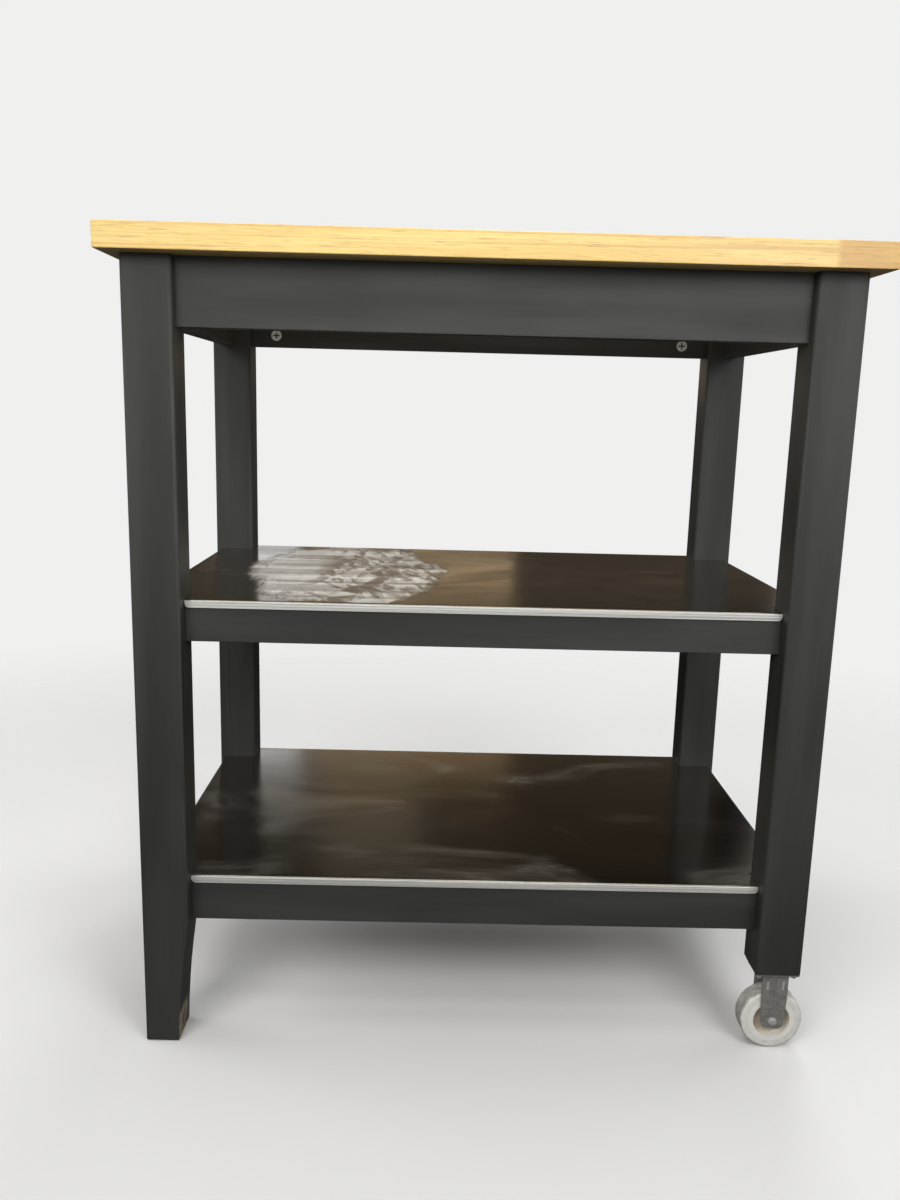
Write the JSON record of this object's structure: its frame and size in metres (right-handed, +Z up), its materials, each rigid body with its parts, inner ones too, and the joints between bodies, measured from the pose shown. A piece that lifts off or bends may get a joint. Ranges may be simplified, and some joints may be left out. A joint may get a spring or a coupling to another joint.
{
  "type": "butcher block kitchen trolley table",
  "caption": "Butcher block table on a black wooden frame, with two folded steel shelves, tapered feet at one end and fixed castors at the other.",
  "frame": {"origin": "on the floor, under the centre of the worktop", "axes": "+X along the length towards the castors, +Y to the rear, +Z up"},
  "size_m": [0.79, 0.51, 0.9],
  "materials": {
    "oak_top": "oiled butcher block, satin",
    "black_wood": "black paint on wood, satin, grain just showing",
    "shelf_steel": "brushed along the length, polished",
    "zinc": "zinc plated",
    "beech": "raw",
    "castor_steel": "dull zinc plate, slightly tarnished",
    "wheel_core": "off-white moulded plastic",
    "wheel_tyre": "grey rubber, lightly scuffed",
    "glide": "black moulded plastic"
  },
  "bodies": {
    "table": {"worktop": "oak_top", "front_left_leg": "black_wood", "rear_left_leg": "black_wood", "front_right_leg": "black_wood", "rear_right_leg": "black_wood", "front_apron": "black_wood", "rear_apron": "black_wood", "left_apron": "black_wood", "right_apron": "black_wood", "middle_front_rail": "black_wood", "middle_rear_rail": "black_wood", "middle_left_rail": "black_wood", "middle_right_rail": "black_wood", "lower_front_rail": "black_wood", "lower_rear_rail": "black_wood", "lower_left_rail": "black_wood", "lower_right_rail": "black_wood", "middle_shelf_bearer": "black_wood", "lower_shelf_bearer": "black_wood", "middle_shelf": "shelf_steel", "lower_shelf": "shelf_steel", "cam_locks": "zinc", "cam_bolts": "zinc", "rail_dowels": "beech", "side_dowels": "beech", "bearer_dowels": "beech", "top_brackets": "zinc", "top_screws": "zinc", "apron_screws": "zinc", "front_left_glide": "glide", "rear_left_glide": "glide", "front_castor_fork": "castor_steel", "front_castor_screws": "zinc", "front_castor_axle": "zinc", "front_castor_nut": "zinc", "front_castor_bush": "zinc", "rear_castor_fork": "castor_steel", "rear_castor_screws": "zinc", "rear_castor_axle": "zinc", "rear_castor_nut": "zinc", "rear_castor_bush": "zinc"},
    "front_wheel": {"front_wheel_core": "wheel_core", "front_wheel_tyre": "wheel_tyre"},
    "rear_wheel": {"rear_wheel_core": "wheel_core", "rear_wheel_tyre": "wheel_tyre"}
  },
  "joints": [
    {"name": "front_wheel_spin", "type": "hinge", "parent": "table", "child": "front_wheel", "pos_m": [0.351, -0.208, 0.036], "axis": [0, 1, 0], "continuous": true},
    {"name": "rear_wheel_spin", "type": "hinge", "parent": "table", "child": "rear_wheel", "pos_m": [0.351, 0.208, 0.036], "axis": [0, 1, 0], "continuous": true}
  ]
}
